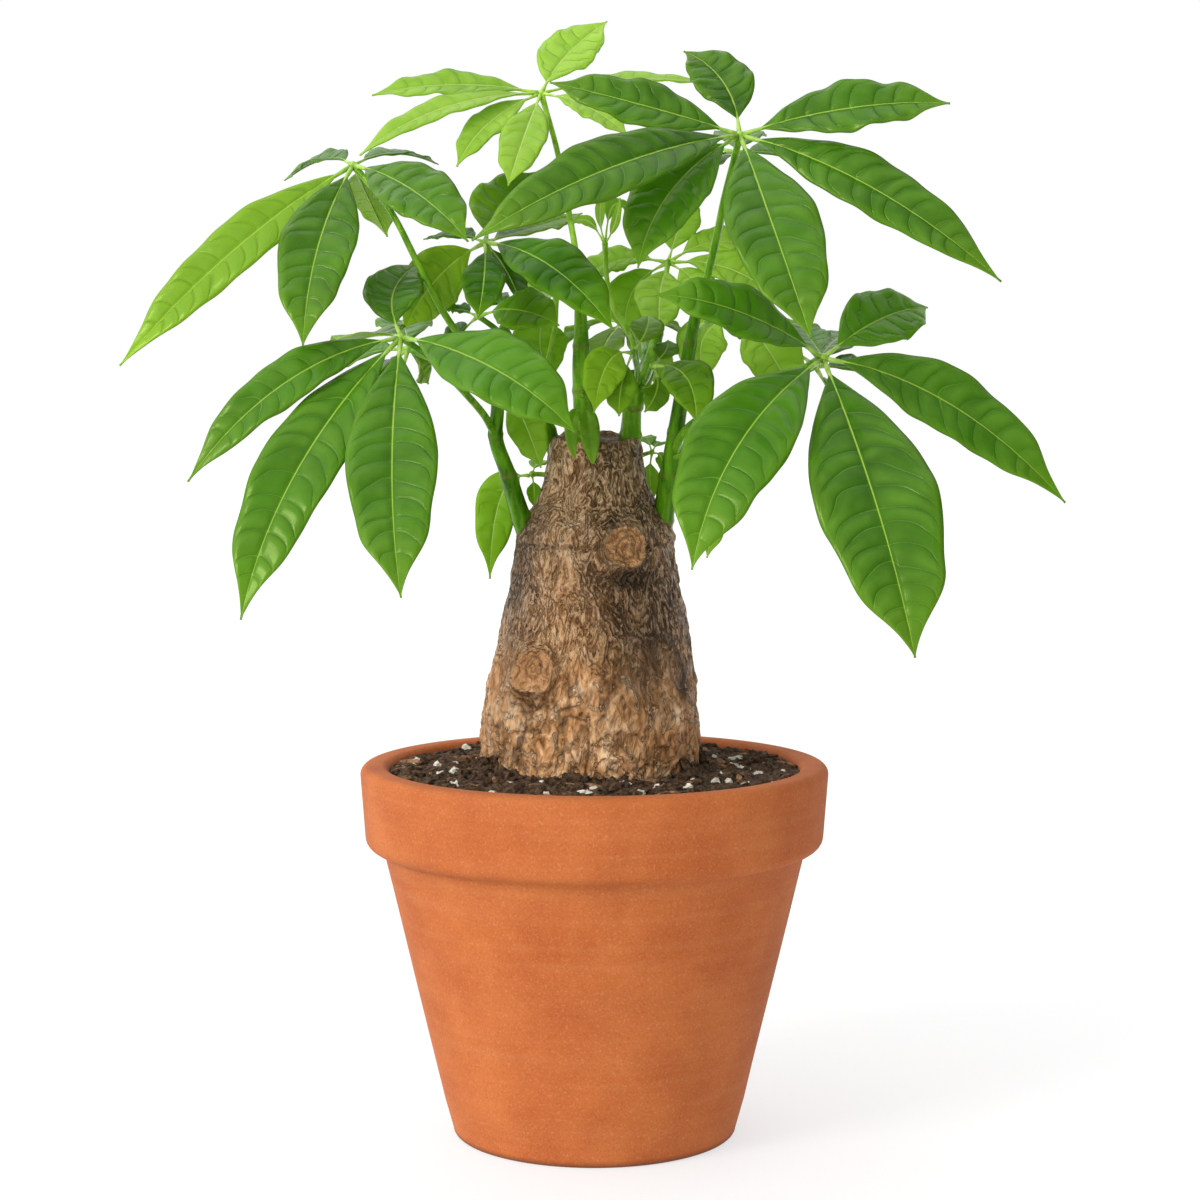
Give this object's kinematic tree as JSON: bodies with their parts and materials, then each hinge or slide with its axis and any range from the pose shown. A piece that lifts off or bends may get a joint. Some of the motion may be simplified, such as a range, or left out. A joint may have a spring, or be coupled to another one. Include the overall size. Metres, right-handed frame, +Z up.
{
  "type": "potted money tree",
  "caption": "Money tree with a swollen cut stump, green shoots and palmate leaves, standing in a tapered terracotta flowerpot with a drain hole",
  "frame": {"origin": "on the pot's axis, at the face it stands on, under the middle of the plant's bounding box", "axes": "+Z up along the pot's axis and the longest extent; -Y towards the side the picture shows; +X to its right"},
  "size_m": [0.3459, 0.2754, 0.4343],
  "materials": {
    "terracotta": "matte",
    "soil": "matte",
    "bark": "matte",
    "stem": "satin",
    "leaf": "satin",
    "young_leaf": "satin"
  },
  "bodies": {
    "root": {"pot": "terracotta", "soil": "soil", "trunk": "bark", "shoot_left": "stem", "shoot_top_left": "stem", "shoot_front": "stem", "shoot_top_right": "stem", "shoot_right": "stem", "shoot_back": "stem", "leaf_crown": "young_leaf", "leaf_upper_right": "leaf", "leaf_upper_left": "leaf", "leaf_lower_left": "leaf", "leaf_middle_left": "leaf", "leaf_lower_right": "leaf", "leaf_back_right": "young_leaf", "leaf_hanging_right": "young_leaf", "leaf_inner_left": "leaf", "leaf_middle_back": "young_leaf", "leaf_inner_front": "leaf", "leaf_inner_right": "leaf", "leaf_front_foot": "leaf", "leaf_hanging_left": "young_leaf", "leaf_stump_left": "young_leaf", "leaf_stump_right": "young_leaf", "leaf_small_right": "young_leaf", "leaf_behind_lower_left": "leaf", "leaf_behind_lower_right": "leaf", "leaf_behind_top": "leaf", "leaf_behind_middle": "leaf", "sprout": "young_leaf"}
  },
  "joints": []
}
